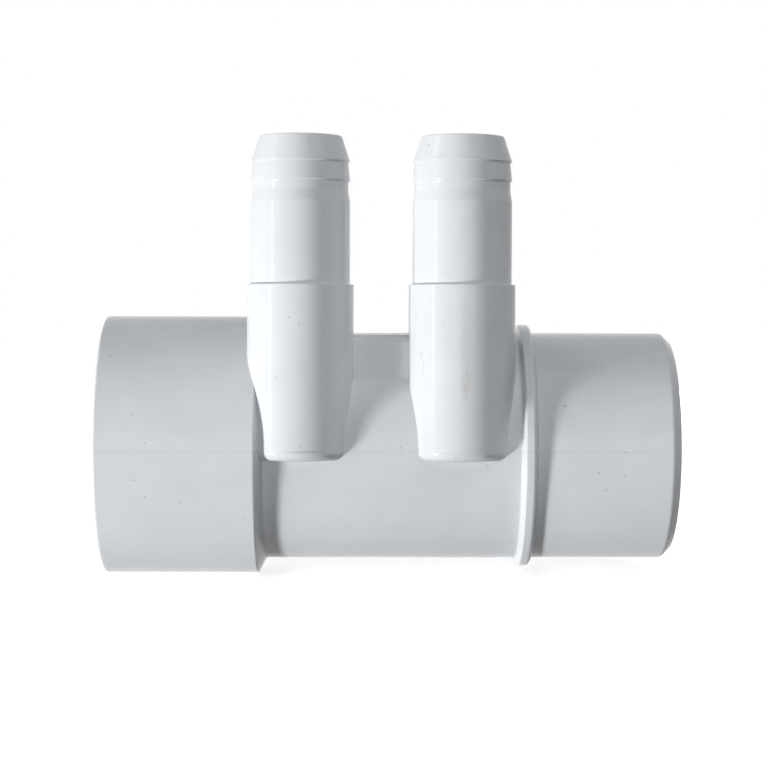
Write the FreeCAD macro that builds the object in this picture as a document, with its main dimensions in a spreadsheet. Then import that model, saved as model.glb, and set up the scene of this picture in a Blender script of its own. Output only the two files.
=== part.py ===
import FreeCAD, Part
import math
import os
import Sketcher

# Barbed water manifold, moulded in one piece.
# A pipe run lies along X, with a socket at its left end and a plain spigot at its right end.
# Two hose barbs stand up along Z. Their axes pass in front of the pipe's own axis, so each
# boss breaks out of the front of the pipe and its bore opens sideways into the waterway.
# The origin is the centre of the socket's mouth. +X runs through the pipe, +Z up the barbs.

# Driving sizes in millimetres: name, value and what it measures
SIZES = [
    ("pipe_diameter", 60.33, "outside of the body, and of the pipe that the socket takes"),
    ("wall_thickness", 3.915, "wall of the body"),
    ("spigot_draft", 0.33, "how much slimmer the spigot is than the body"),
    ("socket_fit", 0.17, "how much wider the socket's bore is than the pipe"),
    ("socket_wall", 3.9, "wall of the socket"),
    ("socket_depth", 38.1, "mouth to the stop inside the socket"),
    ("socket_stop", 1.8, "that stop to the start of the shoulder"),
    ("socket_rim_rounding", 0.6, "outer edge of the mouth"),
    ("socket_entry_chamfer", 0.5, "lead-in at the inner edge of the mouth"),
    ("shoulder_length", 2.55, "cone from the socket down to the body"),
    ("body_length", 65.8, "foot of the shoulder to the stop ring"),
    ("ring_height", 2.05, "stop ring above the body"),
    ("ring_width", 3.9, "stop ring, at its foot"),
    ("ring_lean", 1.1, "how far the ring's socket side leans in"),
    ("ring_nose_rounding", 1.2, "top edge of the ring on its spigot side"),
    ("spigot_length", 36.9, "stop ring to the open end"),
    ("bevel_length", 2.0, "lead-in bevel of the spigot, along the pipe"),
    ("bevel_depth", 2.0, "lead-in bevel of the spigot, across the wall"),
    ("bevel_rounding", 1.6, "outer edge of the bevel"),
    ("port_inset", 9.35, "foot of the shoulder to the first port's axis"),
    ("port_spacing", 41.4, "one port's axis to the next"),
    ("port_setback", 7.865, "front of the body back to the ports' axes"),
    ("barb_diameter", 25.4, "plain length of a barb, and the crests of its ridges"),
    ("barb_wall", 3.175, "plain length of a barb to its bore"),
    ("collar_step", 0.975, "boss and collar, how far they stand out from the barb"),
    ("collar_rise", 12.235, "crest of the round body to the top of the collar"),
    ("collar_chamfer", 0.3, "top edge of the collar"),
    ("boss_drop", 2.3, "lowest point of a boss under the pipe's axis"),
    ("boss_foot_rounding", 2.4, "lower edge of a boss"),
    ("plain_length", 21.1, "collar to the flare"),
    ("flare_length", 2.6, "taper from the plain length down to the neck"),
    ("neck_length", 2.25, "flare to the step of the lower ridge"),
    ("ridge_depth", 0.45, "crest of a ridge to the neck or waist under it"),
    ("ridge_undercut", 0.35, "step of a ridge to its crest, along the barb"),
    ("ridge_spacing", 4.85, "crest of the lower ridge to the crest of the upper one"),
    ("tip_length", 6.55, "crest of the upper ridge to the tip"),
    ("tip_taper", 2.1, "how far the tip is in from that crest"),
    ("tip_edge_chamfer", 0.3, "outer rim of the tip"),
    ("hose_bore_floor", 1.2, "blind end of a port's bore above the pipe's axis"),
    ("bore_mouth_chamfer", 0.3, "inner edge of the tip"),
    ("web_step", 1.7, "ports' axes forward to the flat face between the bosses"),
    ("crest_flat", 0.565, "crest of the round body down to the flat top of the web"),
    ("web_edge_rounding", 2.0, "front top edge between the bosses"),
    ("overrun", 1.0, "how far a cut passes the face that it opens"),
]

# Places worked out from those sizes
PIPE_RADIUS = "dims.pipe_diameter / 2"
SPIGOT_RADIUS = PIPE_RADIUS + " - dims.spigot_draft / 2"
WATERWAY_RADIUS = PIPE_RADIUS + " - dims.wall_thickness"
SOCKET_BORE_RADIUS = PIPE_RADIUS + " + dims.socket_fit / 2"
SOCKET_RADIUS = SOCKET_BORE_RADIUS + " + dims.socket_wall"
RING_RADIUS = PIPE_RADIUS + " + dims.ring_height"
SHOULDER_START = "dims.socket_depth + dims.socket_stop"
SHOULDER_FOOT = SHOULDER_START + " + dims.shoulder_length"
RING_START = SHOULDER_FOOT + " + dims.body_length"
RING_END = RING_START + " + dims.ring_width"
PIPE_END = RING_END + " + dims.spigot_length"
BEVEL_START = PIPE_END + " - dims.bevel_length"
PORT_PLACE = SHOULDER_FOOT + " + dims.port_inset"
PORT_OFFSET = PIPE_RADIUS + " - dims.port_setback"
WEB_FACE = "-(" + PORT_OFFSET + " + dims.web_step)"
WEB_TOP = PIPE_RADIUS + " - dims.crest_flat"
BARB_RADIUS = "dims.barb_diameter / 2"
HOSE_BORE_RADIUS = BARB_RADIUS + " - dims.barb_wall"
BOSS_RADIUS = BARB_RADIUS + " + dims.collar_step"
NECK_RADIUS = BARB_RADIUS + " - dims.ridge_depth"
TIP_RADIUS = BARB_RADIUS + " - dims.tip_taper"
COLLAR_TOP = PIPE_RADIUS + " + dims.collar_rise"
FLARE_START = COLLAR_TOP + " + dims.plain_length"
NECK_START = FLARE_START + " + dims.flare_length"
LOWER_STEP = NECK_START + " + dims.neck_length"
LOWER_RIDGE = LOWER_STEP + " + dims.ridge_undercut"
UPPER_RIDGE = LOWER_RIDGE + " + dims.ridge_spacing"
UPPER_STEP = UPPER_RIDGE + " - dims.ridge_undercut"
BARB_TOP = UPPER_RIDGE + " + dims.tip_length"
SHARP = ""
ON_AXIS = "0"

# Sketch numbering: the root point, the two axes, and the ends of an edge
ROOT = -1
ACROSS_AXIS = -1
UP_AXIS = -2
START = 1
END = 2

doc = FreeCAD.newDocument("water_manifold")


def make_sheet():
    """Spreadsheet with one row for each driving size."""
    sheet = doc.addObject("Spreadsheet::Sheet", "dims")
    for row, (name, size, meaning) in enumerate(SIZES, start=1):
        sheet.set("A%d" % row, meaning)
        sheet.set("B%d" % row, str(size))
        sheet.setAlias("B%d" % row, name)
    doc.recompute()
    return sheet


dims = make_sheet()


def number(expression):
    """What an expression of the sheet's sizes comes to."""
    return float(dims.evalExpression(expression))


def pin_down(sketch, edge, point, across, up):
    """Hold one point of a sketch at the place that two expressions give."""
    if across == ON_AXIS:
        sketch.addConstraint(Sketcher.Constraint("PointOnObject", edge, point, UP_AXIS))
    else:
        held = sketch.addConstraint(
            Sketcher.Constraint("DistanceX", ROOT, START, edge, point, number(across)))
        sketch.setExpression("Constraints[%d]" % held, across)
    if up == ON_AXIS:
        sketch.addConstraint(Sketcher.Constraint("PointOnObject", edge, point, ACROSS_AXIS))
    else:
        held = sketch.addConstraint(
            Sketcher.Constraint("DistanceY", ROOT, START, edge, point, number(up)))
        sketch.setExpression("Constraints[%d]" % held, up)


def draw_outline(sketch, corners):
    """Close an outline through corners, each given as across, up and rounding.

    A sharp corner joins two edges. A rounded one has an arc tangent to both, and a
    construction point keeps the place where the edges would have met.
    """
    count = len(corners)
    spots = [FreeCAD.Vector(number(across), number(up), 0) for across, up, _ in corners]
    leave = []
    reach = []
    for index, (_, _, rounding) in enumerate(corners):
        into = (spots[index] - spots[index - 1]).normalize()
        out = (spots[(index + 1) % count] - spots[index]).normalize()
        setback = 0.0
        if rounding != SHARP:
            setback = number(rounding) * math.tan(into.getAngle(out) / 2)
        reach.append(spots[index] - into * setback)
        leave.append(spots[index] + out * setback)
    edges = []
    for index in range(count):
        line = Part.LineSegment(leave[index], reach[(index + 1) % count])
        edges.append(sketch.addGeometry(line, False))
    for index, (across, up, rounding) in enumerate(corners):
        before = edges[index - 1]
        after = edges[index]
        if rounding == SHARP:
            sketch.addConstraint(Sketcher.Constraint("Coincident", before, END, after, START))
            pin_down(sketch, after, START, across, up)
            continue
        radius = number(rounding)
        into = (spots[index] - spots[index - 1]).normalize()
        out = (spots[(index + 1) % count] - spots[index]).normalize()
        turns_left = into.cross(out).z > 0
        side = 1 if turns_left else -1
        centre = reach[index] + FreeCAD.Vector(-into.y, into.x, 0) * side * radius
        first, last = (reach[index], leave[index]) if turns_left else (leave[index], reach[index])
        circle = Part.Circle(centre, FreeCAD.Vector(0, 0, 1), radius)
        begin = math.atan2(first.y - centre.y, first.x - centre.x)
        finish = math.atan2(last.y - centre.y, last.x - centre.x)
        arc = sketch.addGeometry(Part.ArcOfCircle(circle, begin, finish), False)
        meet_before, meet_after = (START, END) if turns_left else (END, START)
        corner = sketch.addGeometry(Part.Point(spots[index]), True)
        pin_down(sketch, corner, START, across, up)
        sketch.addConstraint(Sketcher.Constraint("PointOnObject", corner, START, before))
        sketch.addConstraint(Sketcher.Constraint("PointOnObject", corner, START, after))
        sketch.addConstraint(Sketcher.Constraint("Tangent", before, END, arc, meet_before))
        sketch.addConstraint(Sketcher.Constraint("Tangent", arc, meet_after, after, START))
        held = sketch.addConstraint(Sketcher.Constraint("Radius", arc, radius))
        sketch.setExpression("Constraints[%d]" % held, rounding)


def make_sketch(body, name, plane_role, corners, moved=()):
    """Sketch on one of the body's own planes, moved along its x, y or z if asked."""
    plane = [item for item in body.Origin.OriginFeatures if item.Role == plane_role][0]
    sketch = body.newObject("Sketcher::SketchObject", name)
    sketch.AttachmentSupport = [(plane, "")]
    sketch.MapMode = "FlatFace"
    for direction, expression in moved:
        sketch.setExpression("AttachmentOffset.Base.%s" % direction, expression)
    draw_outline(sketch, corners)
    doc.recompute()
    return sketch


def turn(body, kind, name, sketch, axis):
    """Revolution or Groove: the sketch turned once about one of its axes."""
    feature = body.newObject("PartDesign::" + kind, name)
    feature.Profile = sketch
    feature.ReferenceAxis = (sketch, [axis])
    feature.Angle = 360
    feature.Refine = True
    body.Tip = feature
    doc.recompute()
    return feature


def extrude(body, kind, name, sketch, length, backward):
    """Pad or Pocket of a length that an expression gives."""
    feature = body.newObject("PartDesign::" + kind, name)
    feature.Profile = sketch
    feature.setExpression("Length", length)
    feature.Reversed = backward
    feature.Refine = True
    body.Tip = feature
    doc.recompute()
    return feature


def repeat_along_pipe(body, name, feature):
    """The same feature once more at the second port."""
    along = [item for item in body.Origin.OriginFeatures if item.Role == "X_Axis"][0]
    pattern = body.newObject("PartDesign::LinearPattern", name)
    pattern.Originals = [feature]
    pattern.Direction = (along, [""])
    pattern.Occurrences = 2
    pattern.setExpression("Length", "dims.port_spacing")
    pattern.Refine = True
    body.Tip = pattern
    doc.recompute()
    return pattern


def add_pipe_run(body):
    """Socket, shoulder, body, stop ring and spigot, turned as one solid bar."""
    corners = [
        (ON_AXIS, ON_AXIS, SHARP),
        (ON_AXIS, SOCKET_RADIUS, "dims.socket_rim_rounding"),
        (SHOULDER_START, SOCKET_RADIUS, SHARP),
        (SHOULDER_FOOT, PIPE_RADIUS, SHARP),
        (RING_START, PIPE_RADIUS, SHARP),
        (RING_START + " + dims.ring_lean", RING_RADIUS, SHARP),
        (RING_END, RING_RADIUS, "dims.ring_nose_rounding"),
        (RING_END, SPIGOT_RADIUS, SHARP),
        (BEVEL_START, SPIGOT_RADIUS, "dims.bevel_rounding"),
        (PIPE_END, SPIGOT_RADIUS + " - dims.bevel_depth", SHARP),
        (PIPE_END, ON_AXIS, SHARP),
    ]
    sketch = make_sketch(body, "pipe_outline", "XZ_Plane", corners)
    turn(body, "Revolution", "pipe_run", sketch, "H_Axis")


def add_web(body):
    """Block that joins the two bosses, with a flat face and a flat top.

    Its top runs on as a narrow flat along the crest of the body, from shoulder to ring.
    """
    above = WEB_TOP + " + dims.pipe_diameter / 2"
    crest = [
        ("-" + PIPE_RADIUS, WEB_TOP, SHARP),
        (PIPE_RADIUS, WEB_TOP, SHARP),
        (PIPE_RADIUS, above, SHARP),
        ("-" + PIPE_RADIUS, above, SHARP),
    ]
    sketch = make_sketch(body, "crest_outline", "YZ_Plane", crest, [("z", SHOULDER_FOOT)])
    extrude(body, "Pocket", "crest_flat", sketch, "dims.body_length", True)
    block = [
        (ON_AXIS, ON_AXIS, SHARP),
        (ON_AXIS, WEB_TOP, SHARP),
        (WEB_FACE, WEB_TOP, "dims.web_edge_rounding"),
        (WEB_FACE, ON_AXIS, SHARP),
    ]
    sketch = make_sketch(body, "web_outline", "YZ_Plane", block, [("z", PORT_PLACE)])
    extrude(body, "Pad", "web", sketch, "dims.port_spacing", False)


def add_ports(body):
    """Boss, collar, barb and its two ridges, turned about the port's own axis."""
    corners = [
        (ON_AXIS, "-dims.boss_drop", SHARP),
        (BOSS_RADIUS, "-dims.boss_drop", "dims.boss_foot_rounding"),
        (BOSS_RADIUS, COLLAR_TOP + " - dims.collar_chamfer", SHARP),
        (BOSS_RADIUS + " - dims.collar_chamfer", COLLAR_TOP, SHARP),
        (BARB_RADIUS, COLLAR_TOP, SHARP),
        (BARB_RADIUS, FLARE_START, SHARP),
        (NECK_RADIUS, NECK_START, SHARP),
        (NECK_RADIUS, LOWER_STEP, SHARP),
        (BARB_RADIUS, LOWER_RIDGE, SHARP),
        (NECK_RADIUS, UPPER_STEP, SHARP),
        (BARB_RADIUS, UPPER_RIDGE, SHARP),
        (TIP_RADIUS, BARB_TOP + " - dims.tip_edge_chamfer", SHARP),
        (TIP_RADIUS + " - dims.tip_edge_chamfer", BARB_TOP, SHARP),
        (ON_AXIS, BARB_TOP, SHARP),
    ]
    place = [("x", PORT_PLACE), ("z", PORT_OFFSET)]
    sketch = make_sketch(body, "port_outline", "XZ_Plane", corners, place)
    port = turn(body, "Revolution", "port", sketch, "V_Axis")
    repeat_along_pipe(body, "both_ports", port)


def cut_waterway(body):
    """Socket bore, its stop, and the waterway through to the spigot's end."""
    mouth = SOCKET_BORE_RADIUS + " + dims.socket_entry_chamfer + dims.overrun"
    beyond = PIPE_END + " + dims.overrun"
    corners = [
        ("-dims.overrun", ON_AXIS, SHARP),
        ("-dims.overrun", mouth, SHARP),
        ("dims.socket_entry_chamfer", SOCKET_BORE_RADIUS, SHARP),
        ("dims.socket_depth", SOCKET_BORE_RADIUS, SHARP),
        ("dims.socket_depth", WATERWAY_RADIUS, SHARP),
        (beyond, WATERWAY_RADIUS, SHARP),
        (beyond, ON_AXIS, SHARP),
    ]
    sketch = make_sketch(body, "waterway_outline", "XZ_Plane", corners)
    turn(body, "Groove", "waterway", sketch, "H_Axis")


def cut_hose_bores(body):
    """Blind bore down each barb, which opens into the side of the waterway."""
    mouth = HOSE_BORE_RADIUS + " + dims.bore_mouth_chamfer + dims.overrun"
    corners = [
        (ON_AXIS, "dims.hose_bore_floor", SHARP),
        (HOSE_BORE_RADIUS, "dims.hose_bore_floor", SHARP),
        (HOSE_BORE_RADIUS, BARB_TOP + " - dims.bore_mouth_chamfer", SHARP),
        (mouth, BARB_TOP + " + dims.overrun", SHARP),
        (ON_AXIS, BARB_TOP + " + dims.overrun", SHARP),
    ]
    place = [("x", PORT_PLACE), ("z", PORT_OFFSET)]
    sketch = make_sketch(body, "hose_bore_outline", "XZ_Plane", corners, place)
    bore = turn(body, "Groove", "hose_bore", sketch, "V_Axis")
    repeat_along_pipe(body, "both_hose_bores", bore)


def check_and_export(body):
    """Stop if anything in the document failed, then write the solid."""
    for item in doc.Objects:
        if "Invalid" in item.State or "Error" in item.State:
            raise RuntimeError("%s did not build: %s" % (item.Label, item.State))
    shape = body.Shape
    if shape.isNull() or not shape.isValid() or len(shape.Solids) != 1:
        raise RuntimeError("%s is not one valid solid" % body.Label)
    box = shape.BoundBox
    print("%s: volume %.0f mm3, X %.2f to %.2f, Y %.2f to %.2f, Z %.2f to %.2f" % (
        body.Label, shape.Volume, box.XMin, box.XMax, box.YMin, box.YMax, box.ZMin, box.ZMax))
    os.makedirs("parts", exist_ok=True)
    shape.exportStep("parts/%s.step" % body.Label)


manifold = doc.addObject("PartDesign::Body", "manifold_body")
manifold.Label = "manifold_body"
add_pipe_run(manifold)
add_web(manifold)
add_ports(manifold)
cut_waterway(manifold)
cut_hose_bores(manifold)
doc.recompute()
check_and_export(manifold)
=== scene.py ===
import math

import bpy
import numpy as np
from mathutils import Matrix, Vector
from mathutils.bvhtree import BVHTree


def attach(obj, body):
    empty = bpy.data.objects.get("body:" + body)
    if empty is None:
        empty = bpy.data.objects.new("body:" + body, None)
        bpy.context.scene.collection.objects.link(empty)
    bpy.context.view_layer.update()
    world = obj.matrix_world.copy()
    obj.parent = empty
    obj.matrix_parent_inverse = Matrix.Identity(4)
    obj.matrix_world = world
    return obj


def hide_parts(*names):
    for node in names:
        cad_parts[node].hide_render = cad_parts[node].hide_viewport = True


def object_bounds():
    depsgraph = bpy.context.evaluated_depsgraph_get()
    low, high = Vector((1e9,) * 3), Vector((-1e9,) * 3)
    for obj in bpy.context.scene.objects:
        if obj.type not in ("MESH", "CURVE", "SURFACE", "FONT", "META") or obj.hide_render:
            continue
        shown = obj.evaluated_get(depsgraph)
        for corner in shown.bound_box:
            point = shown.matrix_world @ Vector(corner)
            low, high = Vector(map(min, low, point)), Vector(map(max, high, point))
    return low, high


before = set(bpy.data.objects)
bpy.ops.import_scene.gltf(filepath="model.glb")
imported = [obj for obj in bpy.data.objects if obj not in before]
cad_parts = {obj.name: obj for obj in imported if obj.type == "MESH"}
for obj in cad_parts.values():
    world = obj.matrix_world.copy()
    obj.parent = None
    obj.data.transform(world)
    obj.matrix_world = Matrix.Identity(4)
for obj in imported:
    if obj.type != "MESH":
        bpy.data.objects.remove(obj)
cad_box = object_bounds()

# Barbed water manifold: one moulding of pale grey PVC, a little used, on a pale floor.
# The moulding is made again here with its small roundings, in the place of the plain solid.
# Lengths are millimetres, and are turned into metres last. X runs through the pipe, Z up the barbs.

MM = 0.001

# Sizes of the moulding
PIPE_RADIUS = 30.165
SPIGOT_RADIUS = 30.0
WATERWAY_RADIUS = 26.25
SOCKET_RADIUS = 34.15
SOCKET_BORE_RADIUS = 30.25
SOCKET_DEPTH = 38.1
SHOULDER_START = 40.4
SHOULDER_FOOT = 42.45
RING_START = 108.35
RING_CREST = 109.25
RING_END = 112.15
RING_RADIUS = 32.215
PIPE_END = 149.05
BEVEL_LENGTH = 2.0
BEVEL_DEPTH = 2.0
PORT_PLACES = (51.8, 93.2)
PORT_OFFSET = 22.3
BOSS_RADIUS = 13.675
BOSS_DROP = 2.3
COLLAR_TOP = 42.4
BARB_RADIUS = 12.7
NECK_RADIUS = 12.25
FLARE_START = 63.5
NECK_START = 66.1
LOWER_STEP = 68.35
LOWER_RIDGE = 68.7
UPPER_STEP = 73.2
UPPER_RIDGE = 73.55
TIP_RADIUS = 10.6
BARB_TOP = 80.1
HOSE_BORE_RADIUS = 9.525
HOSE_BORE_FLOOR = 1.2
WEB_FACE = 24.0
WEB_TOP = 29.6

# Roundings of the moulding's edges and inner corners
RIM_ROUNDING = 0.6
ENTRY_ROUNDING = 0.5
SHOULDER_ROUNDING = 0.5
SHOULDER_FILLET = 0.8
RING_FILLET = 0.6
RING_EDGE_ROUNDING = 0.35
RING_NOSE_ROUNDING = 1.2
SPIGOT_FILLET = 0.35
BEVEL_ROUNDING = 1.6
END_ROUNDING = 0.25
STOP_ROUNDING = 0.8
BOSS_FOOT_ROUNDING = 2.4
COLLAR_ROUNDING = 0.3
BARB_FOOT_FILLET = 0.3
FLARE_ROUNDING = 3.0
RIDGE_ROUNDING = 0.1
STEP_FILLET = 0.12
TIP_ROUNDING = 0.4
BORE_MOUTH_ROUNDING = 0.35
BORE_FLOOR_ROUNDING = 1.5
WEB_ROUNDING = 2.0
SHARP = 0.0

# How finely the round forms are divided
PIPE_SEGMENTS = 256
PORT_SEGMENTS = 160
ARC_STEP = math.radians(9)
OVERRUN = 1.0
LEVEL_TOLERANCE = 0.002
TINY = 1e-6

# Camera, fitted to the outlines of the photograph
CAMERA_PLACE = (67.09, -530.0, 33.43)
CAMERA_YAW = 0.01219
CAMERA_PITCH = -0.03251
CAMERA_ROLL = 0.00344
FOCAL_PIXELS = 1981.1
PICTURE_WIDTH = 768
SENSOR_WIDTH = 36.0
CLIP_START = 0.01
CLIP_END = 20.0


def camera_axes():
    """The camera's right, up and forward directions."""
    forward = Vector((
        math.sin(CAMERA_YAW) * math.cos(CAMERA_PITCH),
        math.cos(CAMERA_YAW) * math.cos(CAMERA_PITCH),
        math.sin(CAMERA_PITCH)))
    level = Vector((math.cos(CAMERA_YAW), -math.sin(CAMERA_YAW), 0.0))
    above = level.cross(forward)
    right = math.cos(CAMERA_ROLL) * level + math.sin(CAMERA_ROLL) * above
    up = math.cos(CAMERA_ROLL) * above - math.sin(CAMERA_ROLL) * level
    return right, up, forward


def make_camera():
    """Camera at the photograph's place, with the photograph's field of view."""
    right, up, forward = camera_axes()
    data = bpy.data.cameras.new("camera")
    data.sensor_width = SENSOR_WIDTH
    data.lens = SENSOR_WIDTH * FOCAL_PIXELS / PICTURE_WIDTH
    data.clip_start = CLIP_START
    data.clip_end = CLIP_END
    camera = bpy.data.objects.new("camera", data)
    turn = Matrix((right, up, -forward)).transposed().to_4x4()
    camera.matrix_world = Matrix.Translation(Vector(CAMERA_PLACE) * MM) @ turn
    bpy.context.scene.collection.objects.link(camera)
    bpy.context.scene.camera = camera


# Lamps: name, azimuth from the camera's side in degrees (positive to the right), elevation,
# distance, width and height in metres, and power in watts
LAMPS = [
    ("key", -64.0, -21.5, 1.4, 0.2, 0.2, 22.0),
    ("sheen", -66.0, 0.0, 1.4, 0.06, 0.7, 2.7),
    ("front", 0.0, -6.0, 1.3, 1.2, 0.8, 5.6),
    ("top_front", 0.0, 50.0, 1.3, 1.2, 0.8, 1.3),
    ("top", 0.0, 75.0, 1.2, 0.3, 0.3, 0.3),
    ("top_left", -90.0, 70.0, 1.2, 0.3, 0.3, 2.4),
    ("left", -80.0, 40.0, 1.3, 0.3, 0.3, 1.5),
    ("right", 48.0, 48.0, 1.3, 0.6, 0.6, 3.9),
    ("right_back", 120.0, 15.0, 1.3, 0.3, 0.3, 1.2),
    ("back", 180.0, 2.0, 1.4, 0.7, 0.7, 12.0),
]
LAMP_TARGET = (0.075, 0.0, 0.02)


def make_lamps():
    """Studio lamps. Those behind the object throw no glare over its edges."""
    for name, azimuth, elevation, distance, width, height, power in LAMPS:
        a = math.radians(azimuth)
        e = math.radians(elevation)
        out = Vector((math.sin(a) * math.cos(e), -math.cos(a) * math.cos(e), math.sin(e)))
        data = bpy.data.lights.new(name, "AREA")
        data.shape = "RECTANGLE"
        data.size = width
        data.size_y = height
        data.energy = power
        lamp = bpy.data.objects.new(name, data)
        lamp.location = Vector(LAMP_TARGET) + out * distance
        lamp.rotation_euler = (-out).to_track_quat("-Z", "Y").to_euler()
        lamp.visible_glossy = "back" not in name
        bpy.context.scene.collection.objects.link(lamp)


def put(tree, kind, inputs=None, **settings):
    """New node. An input takes a number, a colour or another node's output."""
    node = tree.nodes.new("ShaderNode" + kind)
    for name, value in settings.items():
        setattr(node, name, value)
    for key, value in (inputs or {}).items():
        if isinstance(value, bpy.types.NodeSocket):
            tree.links.new(value, node.inputs[key])
        else:
            node.inputs[key].default_value = value
    return node


def calc(tree, operation, first, second=0.0, clamp=False):
    """Output of a Math node."""
    node = put(tree, "Math", {0: first, 1: second}, operation=operation, use_clamp=clamp)
    return node.outputs[0]


def seen_ray(tree):
    """1 for camera, glossy and transmission rays, which see the white backdrop; else 0."""
    path = put(tree, "LightPath")
    shiny = calc(
        tree, "MAXIMUM", path.outputs["Is Glossy Ray"], path.outputs["Is Transmission Ray"])
    return calc(tree, "MAXIMUM", path.outputs["Is Camera Ray"], shiny)


def make_world():
    """White backdrop that gives no light to matt surfaces."""
    world = bpy.data.worlds.new("studio")
    bpy.context.scene.world = world
    world.use_nodes = True
    tree = world.node_tree
    tree.nodes.clear()
    white = put(tree, "Background", {"Color": (1, 1, 1, 1), "Strength": seen_ray(tree)})
    put(tree, "OutputWorld", {"Surface": white.outputs[0]})


# The floor's half width, its colour, and its glow, which rises from near to far to full white
FLOOR_REACH = 6.0
FLOOR_COLOUR = (0.8, 0.8, 0.8, 1)
FLOOR_GLOW = 0.75
FLOOR_NEAR = 0.25
FLOOR_FAR = 0.9


def make_floor():
    """Pale floor. It takes the shadow, lets the low lamps past and throws no light back."""
    low = cad_box[0][2]
    mesh = bpy.data.meshes.new("floor")
    mesh.from_pydata(
        [(-FLOOR_REACH, -FLOOR_REACH, low), (FLOOR_REACH, -FLOOR_REACH, low),
         (FLOOR_REACH, FLOOR_REACH, low), (-FLOOR_REACH, FLOOR_REACH, low)],
        [], [(0, 1, 2, 3)])
    floor = bpy.data.objects.new("floor", mesh)
    floor.visible_shadow = False
    floor.visible_diffuse = False
    bpy.context.scene.collection.objects.link(floor)
    material = bpy.data.materials.new("floor")
    material.use_nodes = True
    tree = material.node_tree
    tree.nodes.clear()
    matt = put(tree, "BsdfDiffuse", {"Color": FLOOR_COLOUR})
    place = put(tree, "TexCoord").outputs["Object"]
    away = put(tree, "VectorMath", {0: place}, operation="LENGTH").outputs["Value"]
    level = put(tree, "MapRange", {
        "Value": away, "From Min": FLOOR_NEAR, "From Max": FLOOR_FAR,
        "To Min": FLOOR_GLOW, "To Max": 1.0}).outputs[0]
    glow = put(tree, "Emission", {"Strength": calc(tree, "MULTIPLY", seen_ray(tree), level)})
    both = put(tree, "AddShader", {0: matt.outputs[0], 1: glow.outputs[0]})
    put(tree, "OutputMaterial", {"Surface": both.outputs[0]})
    mesh.materials.append(material)


def trace(corners):
    """Short straight pieces along an outline whose corners may be rounded.

    A corner is along, out and rounding. A piece is its two ends and the surface's normal at
    each of them. The solid lies to the right of the way that the outline runs.
    """
    spots = [np.array(corner[:2], float) for corner in corners]
    pieces = []
    pen = spots[0]
    for index in range(1, len(corners)):
        ahead = spots[index] - spots[index - 1]
        ahead /= np.linalg.norm(ahead)
        outward = np.array((-ahead[1], ahead[0]))
        rounding = corners[index][2]
        if rounding == SHARP:
            pieces.append((pen, spots[index], outward, outward))
            pen = spots[index]
            continue
        onward = spots[index + 1] - spots[index]
        onward /= np.linalg.norm(onward)
        turn = math.atan2(ahead[0] * onward[1] - ahead[1] * onward[0], ahead @ onward)
        reach = spots[index] - ahead * rounding * math.tan(abs(turn) / 2)
        pieces.append((pen, reach, outward, outward))
        centre = reach + outward * math.copysign(rounding, turn)
        steps = max(2, math.ceil(abs(turn) / ARC_STEP))
        pen, normal = reach, outward
        for step in range(1, steps + 1):
            c = math.cos(turn * step / steps)
            s = math.sin(turn * step / steps)
            rotate = np.array(((c, -s), (s, c)))
            spot = centre + rotate @ (reach - centre)
            pieces.append((pen, spot, normal, rotate @ outward))
            pen, normal = spot, rotate @ outward
    return pieces


PIPE_OUTLINE = trace([
    (0, 0, SHARP),
    (0, SOCKET_RADIUS, RIM_ROUNDING),
    (SHOULDER_START, SOCKET_RADIUS, SHOULDER_ROUNDING),
    (SHOULDER_FOOT, PIPE_RADIUS, SHOULDER_FILLET),
    (RING_START, PIPE_RADIUS, RING_FILLET),
    (RING_CREST, RING_RADIUS, RING_EDGE_ROUNDING),
    (RING_END, RING_RADIUS, RING_NOSE_ROUNDING),
    (RING_END, SPIGOT_RADIUS, SPIGOT_FILLET),
    (PIPE_END - BEVEL_LENGTH, SPIGOT_RADIUS, BEVEL_ROUNDING),
    (PIPE_END, SPIGOT_RADIUS - BEVEL_DEPTH, END_ROUNDING),
    (PIPE_END, 0, SHARP),
])

PORT_OUTLINE = trace([
    (-BOSS_DROP, 0, SHARP),
    (-BOSS_DROP, BOSS_RADIUS, BOSS_FOOT_ROUNDING),
    (COLLAR_TOP, BOSS_RADIUS, COLLAR_ROUNDING),
    (COLLAR_TOP, BARB_RADIUS, BARB_FOOT_FILLET),
    (FLARE_START, BARB_RADIUS, FLARE_ROUNDING),
    (NECK_START, NECK_RADIUS, FLARE_ROUNDING),
    (LOWER_STEP, NECK_RADIUS, STEP_FILLET),
    (LOWER_RIDGE, BARB_RADIUS, RIDGE_ROUNDING),
    (UPPER_STEP, NECK_RADIUS, STEP_FILLET),
    (UPPER_RIDGE, BARB_RADIUS, RIDGE_ROUNDING),
    (BARB_TOP, TIP_RADIUS, TIP_ROUNDING),
    (BARB_TOP, 0, SHARP),
])

WATERWAY_OUTLINE = trace([
    (-OVERRUN, 0, SHARP),
    (-OVERRUN, SOCKET_BORE_RADIUS + ENTRY_ROUNDING + OVERRUN, SHARP),
    (ENTRY_ROUNDING, SOCKET_BORE_RADIUS, ENTRY_ROUNDING),
    (SOCKET_DEPTH, SOCKET_BORE_RADIUS, STOP_ROUNDING),
    (SOCKET_DEPTH, WATERWAY_RADIUS, ENTRY_ROUNDING),
    (PIPE_END + OVERRUN, WATERWAY_RADIUS, SHARP),
    (PIPE_END + OVERRUN, 0, SHARP),
])

BORE_OUTLINE = trace([
    (HOSE_BORE_FLOOR, 0, SHARP),
    (HOSE_BORE_FLOOR, HOSE_BORE_RADIUS, BORE_FLOOR_ROUNDING),
    (BARB_TOP - BORE_MOUTH_ROUNDING, HOSE_BORE_RADIUS, BORE_MOUTH_ROUNDING),
    (BARB_TOP + OVERRUN, HOSE_BORE_RADIUS + BORE_MOUTH_ROUNDING + OVERRUN, SHARP),
    (BARB_TOP + OVERRUN, 0, SHARP),
])

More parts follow.
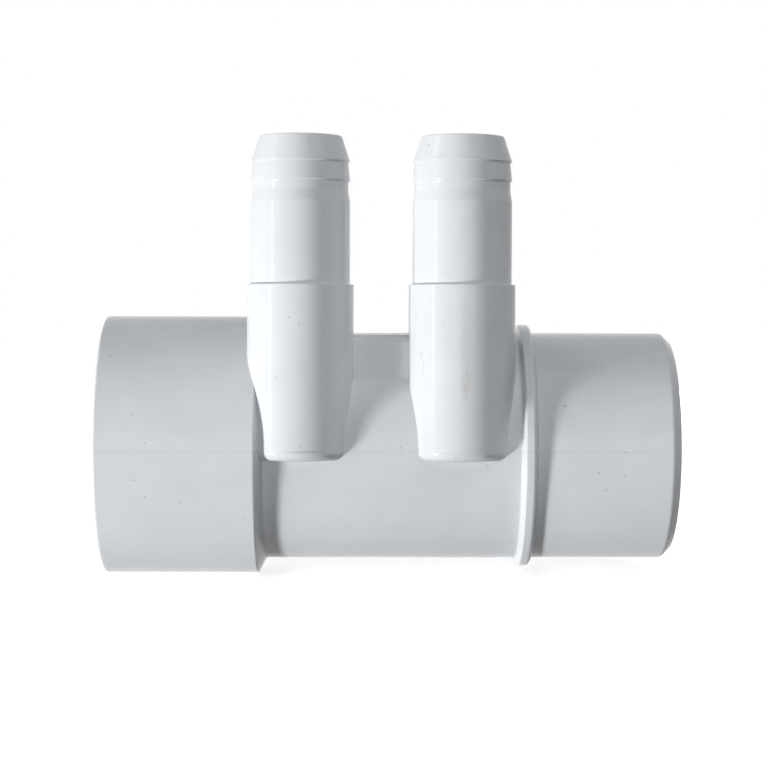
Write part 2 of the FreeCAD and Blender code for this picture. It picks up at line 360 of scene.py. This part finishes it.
# The web's section as forward and up, over its top and down its face
WEB_OUTLINE = trace([
    (0, WEB_TOP, SHARP),
    (WEB_FACE, WEB_TOP, WEB_ROUNDING),
    (WEB_FACE, 0, SHARP),
])


def facing(outline, centres, owner, spots):
    """Normals at spots in an outline's plane, each on the piece nearest its face's centre."""
    starts, ends, at_start, at_end = (np.array(column) for column in zip(*outline))
    runs = ends - starts
    lengths = (runs ** 2).sum(axis=1)
    offset = centres[:, None, :] - starts
    share = np.clip((offset * runs).sum(axis=2) / lengths, 0, 1)
    miss = np.linalg.norm(offset - share[:, :, None] * runs, axis=2)
    piece = miss.argmin(axis=1)[owner]
    offset = spots - starts[piece]
    share = np.clip((offset * runs[piece]).sum(axis=1) / lengths[piece], 0, 1)[:, None]
    return at_start[piece] * (1 - share) + at_end[piece] * share


class Lathe:
    """An outline turned about the pipe's axis, or about a port's axis."""

    def __init__(self, name, outline, port=None, hollow=False):
        self.name = name
        self.outline = outline
        self.port = port
        self.hollow = hollow
        self.segments = PIPE_SEGMENTS if port is None else PORT_SEGMENTS

    def to_space(self, along, out, angle):
        across, up = out * math.cos(angle), out * math.sin(angle)
        if self.port is None:
            return (along, across, up)
        return (self.port + across, up - PORT_OFFSET, along)

    def to_outline(self, points):
        """Along and out of each point, and the direction in which out points there."""
        if self.port is None:
            along = points[:, 0]
            spread = points * (0, 1, 1)
        else:
            along = points[:, 2]
            spread = (points - (self.port, -PORT_OFFSET, 0)) * (1, 1, 0)
        out = np.linalg.norm(spread, axis=1)
        return np.stack((along, out), axis=1), spread / np.maximum(out, TINY)[:, None]

    def axis(self):
        return np.array((1.0, 0, 0) if self.port is None else (0, 0, 1.0))

    def make(self):
        """Closed mesh with a point on the axis at each end."""
        path = [piece[1] for piece in self.outline[:-1]]
        first, last = self.outline[0][0], self.outline[-1][1]
        points = [self.to_space(first[0], 0, 0)]
        for along, out in path:
            points += [self.to_space(along, out, 2 * math.pi * k / self.segments)
                       for k in range(self.segments)]
        points.append(self.to_space(last[0], 0, 0))
        faces = []
        end = len(points) - 1
        for k in range(self.segments):
            n = (k + 1) % self.segments
            faces.append((0, 1 + n, 1 + k))
            for ring in range(len(path) - 1):
                a = 1 + ring * self.segments
                b = a + self.segments
                faces.append((a + k, a + n, b + n, b + k))
            top = end - self.segments
            faces.append((end, top + k, top + n))
        return points, faces

    def normals(self, centres, owner, points):
        """True normals at points, each on the face whose centre its owner gives."""
        flat = facing(self.outline, self.to_outline(centres)[0], owner, self.to_outline(points)[0])
        result = flat[:, :1] * self.axis() + flat[:, 1:] * self.to_outline(points)[1]
        return -result if self.hollow else result


class Web:
    """Block between the bosses: its section drawn out along the pipe."""
    name = "web"
    hollow = False

    def make(self):
        section = [(0.0, 0.0), WEB_OUTLINE[0][0]] + [piece[1] for piece in WEB_OUTLINE]
        points = [(place, -forward, up) for place in PORT_PLACES for forward, up in section]
        count = len(section)
        faces = [tuple(reversed(range(count))), tuple(range(count, 2 * count))]
        faces += [(k, (k + 1) % count, (k + 1) % count + count, k + count) for k in range(count)]
        return points, faces

    def to_outline(self, points):
        return np.stack((-points[:, 1], points[:, 2]), axis=1)

    def normals(self, centres, owner, points):
        flat = facing(WEB_OUTLINE, self.to_outline(centres), owner, self.to_outline(points))
        return np.stack((np.zeros(len(points)), -flat[:, 0], flat[:, 1]), axis=1)


FORMS = [
    Lathe("pipe_run", PIPE_OUTLINE),
    Web(),
    Lathe("port_1", PORT_OUTLINE, PORT_PLACES[0]),
    Lathe("port_2", PORT_OUTLINE, PORT_PLACES[1]),
    Lathe("waterway", WATERWAY_OUTLINE, hollow=True),
    Lathe("hose_bore_1", BORE_OUTLINE, PORT_PLACES[0], hollow=True),
    Lathe("hose_bore_2", BORE_OUTLINE, PORT_PLACES[1], hollow=True),
]


def flatten_crest(point):
    """Bring a point of the body between the shoulder and the ring down to the level crest."""
    x, y, z = point
    if SHOULDER_FOOT < x < RING_START - RING_FILLET:
        return (x, y, min(z, WEB_TOP))
    return (x, y, z)


def make_form(index):
    """One form as an object. Its material slot number tells its faces apart later."""
    form = FORMS[index]
    points, faces = form.make()
    if form.name == "pipe_run":
        points = [flatten_crest(point) for point in points]
    mesh = bpy.data.meshes.new(form.name)
    mesh.from_pydata([Vector(p) for p in points], [], faces)
    for other in FORMS:
        slot = bpy.data.materials.get(other.name) or bpy.data.materials.new(other.name)
        mesh.materials.append(slot)
    mesh.polygons.foreach_set("material_index", [index] * len(faces))
    mesh.update()
    shape = bpy.data.objects.new(form.name, mesh)
    bpy.context.scene.collection.objects.link(shape)
    return shape


def make_moulding():
    """Join the solid forms and cut the hollow ones."""
    shapes = [make_form(index) for index in range(len(FORMS))]
    body = shapes[0]
    for form, shape in zip(FORMS[1:], shapes[1:]):
        step = body.modifiers.new(form.name, "BOOLEAN")
        step.operation = "DIFFERENCE" if form.hollow else "UNION"
        step.solver = "EXACT"
        step.object = shape
    view = bpy.context.evaluated_depsgraph_get()
    mesh = bpy.data.meshes.new_from_object(body.evaluated_get(view))
    for shape in shapes:
        bpy.data.objects.remove(shape)
    for form in FORMS:
        bpy.data.materials.remove(bpy.data.materials[form.name])
    mesh.name = "manifold"
    return mesh


def read(items, name, width=1, kind=float):
    """One property of all items as an array, with a row for each item if it has a width."""
    values = np.empty(len(items) * width, kind)
    items.foreach_get(name, values)
    return values.reshape(-1, width) if width > 1 else values


def smooth(mesh):
    """Corner normals from the true round forms, so that no facet shows."""
    points = read(mesh.vertices, "co", 3)
    centres = read(mesh.polygons, "center", 3)
    totals = read(mesh.polygons, "loop_total", kind=int)
    form_of_face = read(mesh.polygons, "material_index", kind=int)
    vertex_of_corner = read(mesh.loops, "vertex_index", kind=int)
    face_of_corner = np.repeat(np.arange(len(totals)), totals)
    normals = np.zeros((len(vertex_of_corner), 3))
    for index, form in enumerate(FORMS):
        faces = np.flatnonzero(form_of_face == index)
        corners = np.flatnonzero(form_of_face[face_of_corner] == index)
        if len(faces) == 0:
            continue
        owner = np.searchsorted(faces, face_of_corner[corners])
        normals[corners] = form.normals(centres[faces], owner, points[vertex_of_corner[corners]])
    level = np.abs(centres[:, 2] - WEB_TOP) < LEVEL_TOLERANCE
    normals[level[face_of_corner]] = (0, 0, 1)
    mesh.polygons.foreach_set("use_smooth", [True] * len(mesh.polygons))
    mesh.polygons.foreach_set("material_index", [0] * len(mesh.polygons))
    mesh.normals_split_custom_set([Vector(n).normalized() for n in normals])


# Colours of the plastic and of the marks on it
BASE_COLOUR = (0.62, 0.645, 0.67, 1)
BROWN_COLOUR = (0.30, 0.24, 0.16, 1)
DARK_COLOUR = (0.16, 0.16, 0.17, 1)
LIGHT_COLOUR = (0.86, 0.87, 0.88, 1)

# Noises: the size of their features in millimetres, how much detail they have, the share of the
# clouds in the tone, and the levels between and about which a noise mostly lies
CLOUD_SIZE = 26.0
CLOUD_DETAIL = 2.0
CLOUD_SHARE = 0.6
MOTTLE_SIZE = 6.0
MOTTLE_DETAIL = 1.0
GRAIN_SIZE = 0.45
GRAIN_DETAIL = 2.0
NOISE_LOW = 0.3
NOISE_MIDDLE = 0.5
NOISE_HIGH = 0.7

# Tone, gloss and relief. The soft corners and the grain's depth are in millimetres.
TONE_RANGE = 0.03
ROUGHNESS_LOW = 0.14
ROUGHNESS_HIGH = 0.16
SHINE = 0.16
CORNER_SOFTNESS = 0.45
CORNER_SAMPLES = 6
GRAIN_DEPTH = 0.006

# Parting line: where it is full and where it ends, its tone and its relief against the grain, and
# how it fades in places
SEAM_CORE = 0.05
SEAM_HALF_WIDTH = 0.2
SEAM_TONE = 0.13
SEAM_RELIEF = 6.0
SEAM_FADE = (0.3, 0.6, 0.35, 1.0)

# Fine scratches: contour lines of a noise that is stretched along the pipe
SCRATCH_STRETCH = (0.03, 0.55, 0.55)
SCRATCH_DETAIL = 3.0
SCRATCH_WIDTH = 0.004
SCRATCH_TONE = 0.07
SCRATCH_FADE = (0.45, 0.6, 0.0, 1.0)

# Scattered specks, in millimetres
SPECK_SPACING = 6.0
SPECK_CORE = 0.1
SPECK_SIZE = 0.2
SPECK_TONE = 0.35

# Edges of the marks: ragged by this much, and full inside the first share of their size, gone
# outside the second. Grain breaks the brown ones up.
RAGGED_SIZE = 0.9
RAGGED_REACH = 0.5
MARK_FULL = 0.4
MARK_GONE = 1.2
MARK_DEPTH = 3.0
BROWN_BREAKS = (0.42, 0.62, 0.1, 1.0)

# Marks on the front: name, kind, pixel of the photograph, half width, half height and strength
MARKS = [
    ("socket_speck_1", "dark", (134, 480), 0.4, 0.35, 0.35),
    ("socket_speck_2", "dark", (145, 497), 0.35, 0.35, 0.35),
    ("socket_speck_3", "dark", (179.5, 503), 0.35, 0.3, 0.3),
    ("socket_speck_4", "dark", (245, 519), 0.35, 0.3, 0.3),
    ("socket_speck_5", "dark", (145, 443), 0.3, 0.3, 0.3),
    ("socket_speck_6", "dark", (110, 356), 0.3, 0.3, 0.3),
    ("socket_speck_7", "dark", (133, 415), 0.3, 0.3, 0.25),
    ("socket_line_high", "light", (190, 361.8), 14.0, 0.18, 0.25),
    ("socket_line_mid", "light", (180, 380.9), 12.0, 0.18, 0.2),
    ("socket_line_low", "light", (185, 402.9), 12.0, 0.18, 0.2),
    ("spigot_line", "light", (554, 373), 5.0, 0.18, 0.3),
    ("spigot_dash", "dark", (565, 406), 0.55, 0.35, 0.4),
    ("spigot_speck_1", "dark", (599, 473), 0.35, 0.35, 0.4),
    ("spigot_speck_2", "dark", (606.7, 490), 0.3, 0.3, 0.35),
    ("spigot_speck_3", "dark", (625, 476), 0.3, 0.3, 0.35),
    ("spigot_speck_4", "brown", (673.3, 461.8), 0.35, 0.35, 0.5),
    ("spigot_speck_5", "dark", (594.5, 365.5), 0.3, 0.3, 0.3),
    ("spigot_speck_6", "dark", (559.4, 470.9), 0.3, 0.3, 0.2),
    ("spigot_speck_7", "dark", (561.8, 483), 0.3, 0.3, 0.2),
    ("spigot_seam_stain", "brown", (624, 452.5), 0.9, 0.25, 0.5),
    # A brown line along the ring's foot, in the crease beside the ring
    ("ring_foot_brown_line", "brown", (521.2, 352), 0.4, 9.0, 0.4),
    ("body_speck_1", "dark", (521, 432), 0.3, 0.35, 0.35),
    ("body_speck_2", "brown", (510.9, 541), 0.5, 0.5, 0.2),
    ("body_speck_3", "dark", (487.6, 466), 0.35, 0.3, 0.35),
    ("body_speck_4", "dark", (400.8, 447.7), 0.35, 0.3, 0.35),
    ("boss_1_seam_stain", "dark", (304, 452), 5.2, 0.22, 0.4),
    ("boss_1_speck_1", "dark", (300.6, 445.8), 0.3, 0.3, 0.35),
    ("boss_1_speck_2", "dark", (289, 317), 0.3, 0.3, 0.3),
    ("boss_1_speck_3", "dark", (299, 324), 0.3, 0.3, 0.3),
    ("boss_1_speck_4", "dark", (276, 377), 0.3, 0.3, 0.3),
    # Painted shade: dark patches on the shaded right sides of both bosses' feet
    ("boss_1_foot_painted_shade", "dark", (331, 456.3), 2.4, 0.6, 0.25),
    ("boss_2_foot_painted_shade", "dark", (489, 456.7), 1.8, 0.5, 0.25),
    ("boss_2_stain", "brown", (466, 384), 1.3, 4.5, 0.4),
    ("boss_2_grime", "brown", (466, 350), 1.4, 14.0, 0.22),
    ("boss_2_speck_1", "brown", (443, 326), 0.35, 0.35, 0.6),
    ("boss_2_speck_2", "dark", (416, 318), 0.3, 0.3, 0.3),
    ("boss_2_speck_3", "brown", (455.7, 457.3), 0.4, 0.3, 0.5),
    ("boss_2_scratch_high", "dark", (421, 354), 0.2, 1.6, 0.2),
    ("boss_2_scratch_low", "dark", (423.5, 367), 0.2, 1.9, 0.2),
    ("boss_2_fleck_1", "light", (480.3, 362.5), 0.3, 0.3, 0.5),
    ("boss_2_fleck_2", "light", (491.7, 364.6), 0.3, 0.3, 0.5),
    ("barb_2_tip_speck", "dark", (428.8, 145), 0.3, 0.3, 0.4),
    ("barb_2_ridge_speck", "brown", (467.5, 157.5), 0.4, 0.25, 0.4),
]


def find_marks(mesh):
    """Centre of each mark on the moulding, where the camera sees its pixel."""
    surface = BVHTree.FromPolygons(
        [v.co for v in mesh.vertices], [tuple(p.vertices) for p in mesh.polygons])
    right, up, forward = camera_axes()
    middle = PICTURE_WIDTH / 2
    centres = {}
    for name, _, (across, down), _, _, _ in MARKS:
        aside = right * (across - middle) + up * (middle - down)
        hit = surface.ray_cast(Vector(CAMERA_PLACE), forward * FOCAL_PIXELS + aside)
        centres[name] = hit[0]
    return centres


def noise(tree, place, size, detail):
    """Smooth noise of about 0 to 1, with features of a size in millimetres."""
    node = put(tree, "TexNoise", {"Vector": place, "Scale": 1 / size, "Detail": detail})
    return node.outputs[0]


def vector(tree, operation, inputs):
    """Output of a Vector Math node that gives a vector."""
    return put(tree, "VectorMath", inputs, operation=operation).outputs[0]


def length(tree, value):
    """Length of a vector."""
    return put(tree, "VectorMath", {0: value}, operation="LENGTH").outputs["Value"]


def ramp(tree, value, start, end, low, high):
    """Value taken from start..end to low..high, and held at both ends."""
    node = put(tree, "MapRange", {
        "Value": value, "From Min": start, "From Max": end, "To Min": low, "To Max": high})
    return node.outputs[0]


def blend(tree, share, first, second):
    """Mix of two colours. A share of 1 gives the second."""
    return put(tree, "Mix", {0: share, 6: first, 7: second}, data_type="RGBA").outputs[2]


def mark_levels(tree, place, centres):
    """How strongly each kind of mark shows at a place."""
    levels = {"dark": 0.0, "brown": 0.0, "light": 0.0}
    for name, kind, _, half_width, half_height, strength in MARKS:
        shrink = Vector((1 / half_width, 1 / MARK_DEPTH, 1 / half_height))
        offset = -centres[name] * shrink
        away = length(tree, vector(tree, "MULTIPLY_ADD", {0: place, 1: shrink, 2: offset}))
        level = ramp(tree, away, MARK_FULL, MARK_GONE, strength, 0.0)
        levels[kind] = calc(tree, "MAXIMUM", levels[kind], level)
    return levels


def scratches(tree, place, mottle):
    """Fine scratches along the pipe, here and there."""
    stretched = vector(tree, "MULTIPLY", {0: place, 1: SCRATCH_STRETCH})
    contour = calc(tree, "SUBTRACT", noise(tree, stretched, 1.0, SCRATCH_DETAIL), NOISE_MIDDLE)
    lines = ramp(tree, calc(tree, "ABSOLUTE", contour), 0.0, SCRATCH_WIDTH, SCRATCH_TONE, 0.0)
    return calc(tree, "MULTIPLY", lines, ramp(tree, mottle, *SCRATCH_FADE))


def parting_line(tree, place, mottle):
    """Parting line of the mould, all round in the plane of the pipe's axis."""
    height = put(tree, "SeparateXYZ", {0: place}).outputs[2]
    line = ramp(tree, calc(tree, "ABSOLUTE", height), SEAM_CORE, SEAM_HALF_WIDTH, SEAM_TONE, 0.0)
    return calc(tree, "MULTIPLY", line, ramp(tree, mottle, *SEAM_FADE))


def specks(tree, place):
    """Small dark specks scattered all over."""
    cells = put(tree, "TexVoronoi", {"Vector": place, "Scale": 1 / SPECK_SPACING})
    core = SPECK_CORE / SPECK_SPACING
    edge = SPECK_SIZE / SPECK_SPACING
    return ramp(tree, cells.outputs["Distance"], core, edge, SPECK_TONE, 0.0)


def make_ragged(tree, place):
    """The place moved a little to and fro, so that marks get ragged edges."""
    spread = put(tree, "TexNoise", {"Vector": place, "Scale": 1 / RAGGED_SIZE}).outputs["Color"]
    shift = vector(tree, "MULTIPLY_ADD", {
        0: spread, 1: (RAGGED_REACH,) * 3, 2: (-NOISE_MIDDLE * RAGGED_REACH,) * 3})
    return vector(tree, "ADD", {0: place, 1: shift})


def make_pvc(centres):
    """Pale grey moulded PVC: cloudy, finely grained, a little scuffed and stained, with painted
    shade at the bosses' feet.
    """
    material = bpy.data.materials.new("white_pvc")
    material.use_nodes = True
    tree = material.node_tree
    shader = tree.nodes["Principled BSDF"]
    metres = put(tree, "TexCoord").outputs["Object"]
    place = vector(tree, "SCALE", {0: metres, "Scale": 1 / MM})
    cloud = noise(tree, place, CLOUD_SIZE, CLOUD_DETAIL)
    mottle = noise(tree, place, MOTTLE_SIZE, MOTTLE_DETAIL)
    grain = noise(tree, place, GRAIN_SIZE, GRAIN_DETAIL)
    line = parting_line(tree, place, mottle)
    levels = mark_levels(tree, make_ragged(tree, place), centres)

    # Clouds and mottling change the tone. Scratches and marks lie over it.
    clouds = calc(tree, "MULTIPLY", cloud, CLOUD_SHARE)
    mottling = calc(tree, "MULTIPLY", mottle, 1 - CLOUD_SHARE)
    tone = ramp(tree, calc(tree, "ADD", clouds, mottling),
                NOISE_LOW, NOISE_HIGH, 1 - TONE_RANGE, 1 + TONE_RANGE)
    light = calc(tree, "MAXIMUM", levels["light"], scratches(tree, place, mottle))
    brown = calc(tree, "MULTIPLY", levels["brown"], ramp(tree, grain, *BROWN_BREAKS))
    scattered = calc(tree, "MAXIMUM", specks(tree, place), line)
    dark = calc(tree, "MAXIMUM", levels["dark"], scattered)
    colour = vector(tree, "SCALE", {0: BASE_COLOUR[:3], "Scale": tone})
    colour = blend(tree, light, colour, LIGHT_COLOUR)
    colour = blend(tree, brown, colour, BROWN_COLOUR)
    colour = blend(tree, dark, colour, DARK_COLOUR)
    tree.links.new(colour, shader.inputs["Base Color"])

    roughness = ramp(tree, cloud, NOISE_LOW, NOISE_HIGH, ROUGHNESS_LOW, ROUGHNESS_HIGH)
    tree.links.new(roughness, shader.inputs["Roughness"])
    shader.inputs["Specular IOR Level"].default_value = SHINE

    # Soft inner and outer corners, with the grain and the parting line as relief
    soft = put(tree, "Bevel", {"Radius": CORNER_SOFTNESS * MM}, samples=CORNER_SAMPLES).outputs[0]
    relief = calc(tree, "ADD", grain, calc(tree, "MULTIPLY", line, SEAM_RELIEF))
    bump = put(tree, "Bump", {"Height": relief, "Distance": GRAIN_DEPTH * MM, "Normal": soft})
    tree.links.new(bump.outputs[0], shader.inputs["Normal"])
    return material


make_camera()
make_lamps()
make_world()
make_floor()
mesh = make_moulding()
smooth(mesh)
centres = find_marks(mesh)
mesh.transform(Matrix.Scale(MM, 4))
mesh.materials.clear()
mesh.materials.append(make_pvc(centres))
manifold = bpy.data.objects.new("manifold", mesh)
bpy.context.scene.collection.objects.link(manifold)
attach(manifold, "root")
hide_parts("manifold_body")

bpy.context.scene.view_settings.view_transform = "Standard"
